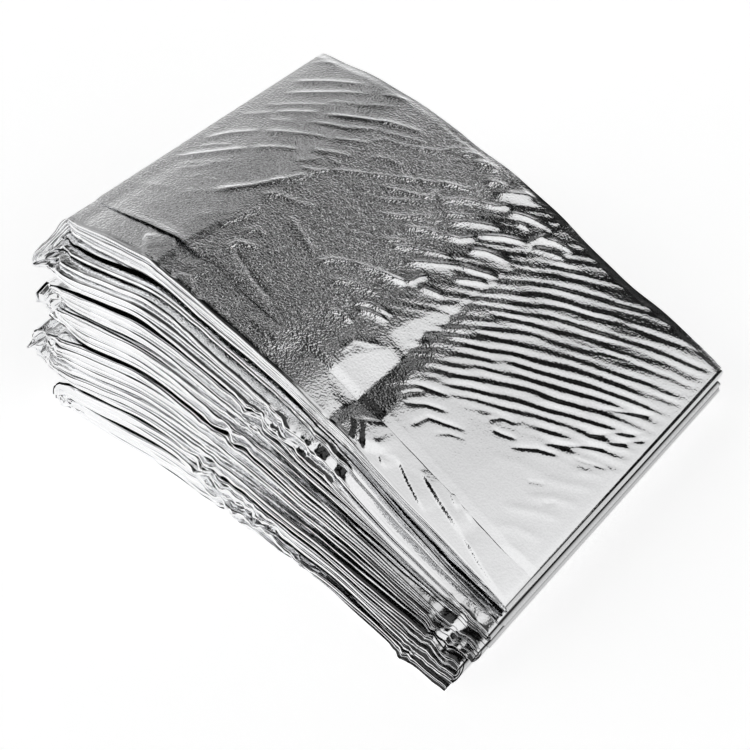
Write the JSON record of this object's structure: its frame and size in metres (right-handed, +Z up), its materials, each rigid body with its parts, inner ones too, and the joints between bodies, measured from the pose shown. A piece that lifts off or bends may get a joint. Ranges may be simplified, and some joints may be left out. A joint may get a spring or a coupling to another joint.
{
  "type": "emergency foil blanket",
  "caption": "Emergency foil blanket of thin silver film, folded back and forth into a loose wedge-shaped stack that is puffed up at one end and pressed flat at the other",
  "frame": {"origin": "centre of the bounding box in plan, on the surface that the folded blanket lies on", "axes": "+X from the loose, puffed end to the tight, pressed end; +Y from the open layered edges to the back; +Z up"},
  "size_m": [0.1272, 0.1074, 0.0538],
  "materials": {
    "silver_foil": "bright metallised film, finely crinkled"
  },
  "bodies": {
    "root": {"foil_strip": "silver_foil"}
  },
  "joints": []
}
